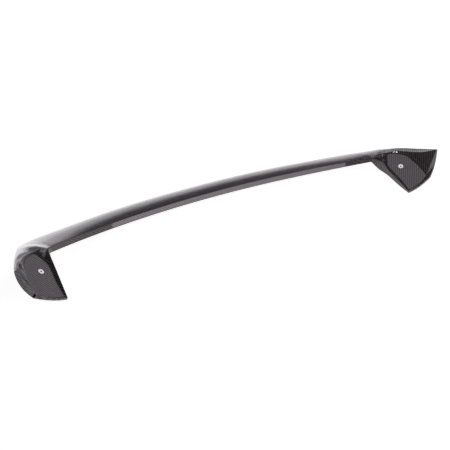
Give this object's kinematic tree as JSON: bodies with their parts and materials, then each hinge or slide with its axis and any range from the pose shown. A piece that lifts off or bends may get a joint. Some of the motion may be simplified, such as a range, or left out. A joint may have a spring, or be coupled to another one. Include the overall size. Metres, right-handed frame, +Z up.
{
  "type": "rear wing",
  "caption": "Bowed carbon-fibre rear wing for a hatchback, lying on its back: a slim hollow bar that sweeps into a tilted mounting pod with a recessed foot and a threaded insert at each end.",
  "frame": {"origin": "under the middle of the whole wing's box, at the height of its lowest points as it lies on its back", "axes": "+Z up as the wing lies on its back with its mounting faces up, X along the span, +Y from the feet towards the trailing edge. On the car the wing is turned over: its lower side here is the outside that is seen, and the mounting faces sit down on the tailgate."},
  "size_m": [1.254, 0.3538, 0.1041],
  "materials": {
    "carbon_gloss": "2x2 twill carbon laminate under polished clear coat",
    "foam": "closed-cell PVC foam, sanded",
    "bond_paste": "cured grey epoxy bonding paste",
    "insert_steel": "bright turned stainless steel",
    "plate_aluminium": "sheet aluminium, abraded for bonding",
    "spigot_laminate": "uncoated carbon laminate, peel-ply texture"
  },
  "bodies": {
    "root": {"bar_underside_skin": "carbon_gloss", "bar_top_skin": "carbon_gloss", "bar_foam_core": "foam", "bar_edge_bond": "bond_paste", "foot_dish_right": "carbon_gloss", "pod_underside_skin_right": "carbon_gloss", "pod_outer_skin_right": "carbon_gloss", "pod_foam_core_right": "foam", "pod_edge_bond_right": "bond_paste", "threaded_insert_right": "insert_steel", "backing_plate_right": "plate_aluminium", "joining_spigot_right": "spigot_laminate", "foot_dish_left": "carbon_gloss", "pod_underside_skin_left": "carbon_gloss", "pod_outer_skin_left": "carbon_gloss", "pod_foam_core_left": "foam", "pod_edge_bond_left": "bond_paste", "threaded_insert_left": "insert_steel", "backing_plate_left": "plate_aluminium", "joining_spigot_left": "spigot_laminate"}
  },
  "joints": []
}
